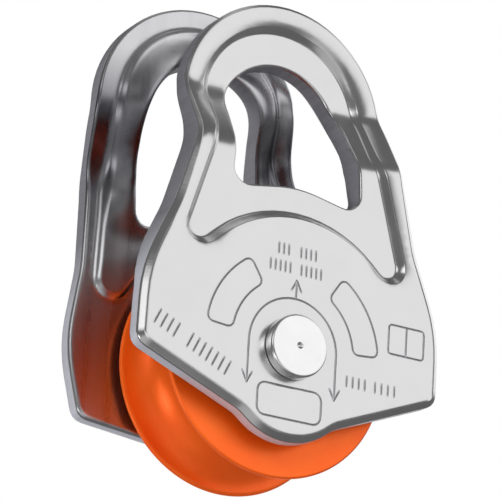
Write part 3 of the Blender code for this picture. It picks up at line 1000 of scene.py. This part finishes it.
class World(Nodes):
    """The studio round the object, as soft boxes in the world's light."""

    def __init__(self):
        self.world = bpy.data.worlds.new("studio")
        super().__init__(self.world)

    def fade(self, value, gone, full):
        """Smooth step from 0 at one value to 1 at the other."""
        return self.node("MapRange", {0: value, 1: gone, 2: full, 3: 0.0, 4: 1.0},
                         interpolation_type="SMOOTHSTEP").outputs[0]

    def box(self, round_it, height, middle, width, low, high, level):
        """Brightness of one soft box seen in a direction."""
        seen = self.fade(height, math.sin(math.radians(low - SOFTNESS)),
                         math.sin(math.radians(low + SOFTNESS)))
        if high < 90:
            top = self.fade(height, math.sin(math.radians(high + SOFTNESS)),
                            math.sin(math.radians(high - SOFTNESS)))
            seen = self.math("MULTIPLY", seen, top)
        if width < 180:
            a = math.radians(middle)
            along = self.node("VectorMath", {0: round_it, 1: (math.sin(a), -math.cos(a), 0.0)},
                              operation="DOT_PRODUCT").outputs["Value"]
            side = self.fade(along, math.cos(math.radians(width + SOFTNESS)),
                             math.cos(math.radians(max(width - SOFTNESS, 0.0))))
            seen = self.math("MULTIPLY", seen, side)
        return self.math("MULTIPLY", seen, level)


def build_world():
    w = World()
    bpy.context.scene.world = w.world
    towards = w.node("TexCoord").outputs["Generated"]
    flat = w.node("VectorMath", {0: towards, 1: (1.0, 1.0, 0.0)}, operation="MULTIPLY")
    round_it = w.node("VectorMath", {0: flat.outputs[0]}, operation="NORMALIZE").outputs[0]
    height = w.node("SeparateXYZ", {0: towards}).outputs["Z"]
    level = AMBIENT
    for box in BOXES:
        level = w.math("MAXIMUM", level, w.box(round_it, height, *box))
    seen = w.node("LightPath").outputs["Is Camera Ray"]
    level = w.math("MAXIMUM", level, w.math("MULTIPLY", seen, BACKDROP))
    background = w.tree.nodes["Background"]
    w.tree.links.new(level, background.inputs["Strength"])
    background.inputs["Color"].default_value = (1.0, 1.0, 1.0, 1.0)


def build_floor():
    """Pale floor, left out of the reflections."""
    bpy.ops.mesh.primitive_plane_add(size=FLOOR_SIZE, location=(0.0, 0.0, FLOOR_Z))
    floor = bpy.context.object
    floor.name = "floor"
    s = Shader("pale_floor", (0.82, 0.82, 0.82), 0.0, 0.7)
    s.tint(s.noise(s.place(), 40.0), (0.80, 0.80, 0.80), (0.84, 0.84, 0.84))
    s.base.inputs["Emission Color"].default_value = (1.0, 1.0, 1.0, 1.0)
    s.base.inputs["Emission Strength"].default_value = FLOOR_GLOW
    floor.data.materials.append(s.mat)
    floor.visible_glossy = False


def area_light(name, place, size, power, spread):
    """Round lamp aimed at the axle, left out of the reflections."""
    data = bpy.data.lights.new(name, "AREA")
    data.shape = "DISK"
    data.size = size
    data.energy = power
    data.spread = math.radians(spread)
    lamp = linked_object(name, data)
    lamp.location = place
    aim = AXLE - Vector(place)
    lamp.rotation_euler = aim.to_track_quat("-Z", "Y").to_euler()
    lamp.visible_glossy = False


def build_camera():
    data = bpy.data.cameras.new("camera")
    data.lens = LENS
    data.sensor_width = SENSOR
    data.clip_start = NEAREST
    camera = linked_object("camera", data)
    camera.location = CAMERA_AT
    upright = Vector(CAMERA_LOOK).to_track_quat("-Z", "Y").to_matrix().to_4x4()
    camera.rotation_euler = (upright @ Matrix.Rotation(math.radians(CAMERA_ROLL), 4, "Z")
                             ).to_euler()
    bpy.context.scene.camera = camera


def main():
    build_plates([plate_face_material(), plate_edge_material(), etched_material(),
                  plate_inside_material()])
    axle_mat = turned_metal("turned_steel", (0.93, 0.93, 0.93), (0.98, 0.98, 0.98), 0.18, 0.28)
    bearing_mat = turned_metal("ground_steel", (0.58, 0.59, 0.61), (0.68, 0.69, 0.71), 0.1, 0.2)
    sleeve_mat = turned_metal("turned_aluminium", (0.66, 0.66, 0.68), (0.75, 0.75, 0.77),
                              0.28, 0.4)
    build_axle(axle_mat)
    build_stack(polymer("black_polymer", (0.02, 0.02, 0.022), (0.05, 0.05, 0.055)), sleeve_mat)
    build_sheave(sheave_material())
    build_bearing(bearing_mat, polymer("natural_polyamide", (0.62, 0.57, 0.45),
                                       (0.72, 0.67, 0.55)))
    build_world()
    build_floor()
    for lamp in LAMPS:
        area_light(*lamp)
    build_camera()
    bpy.context.scene.view_settings.view_transform = "Standard"


main()
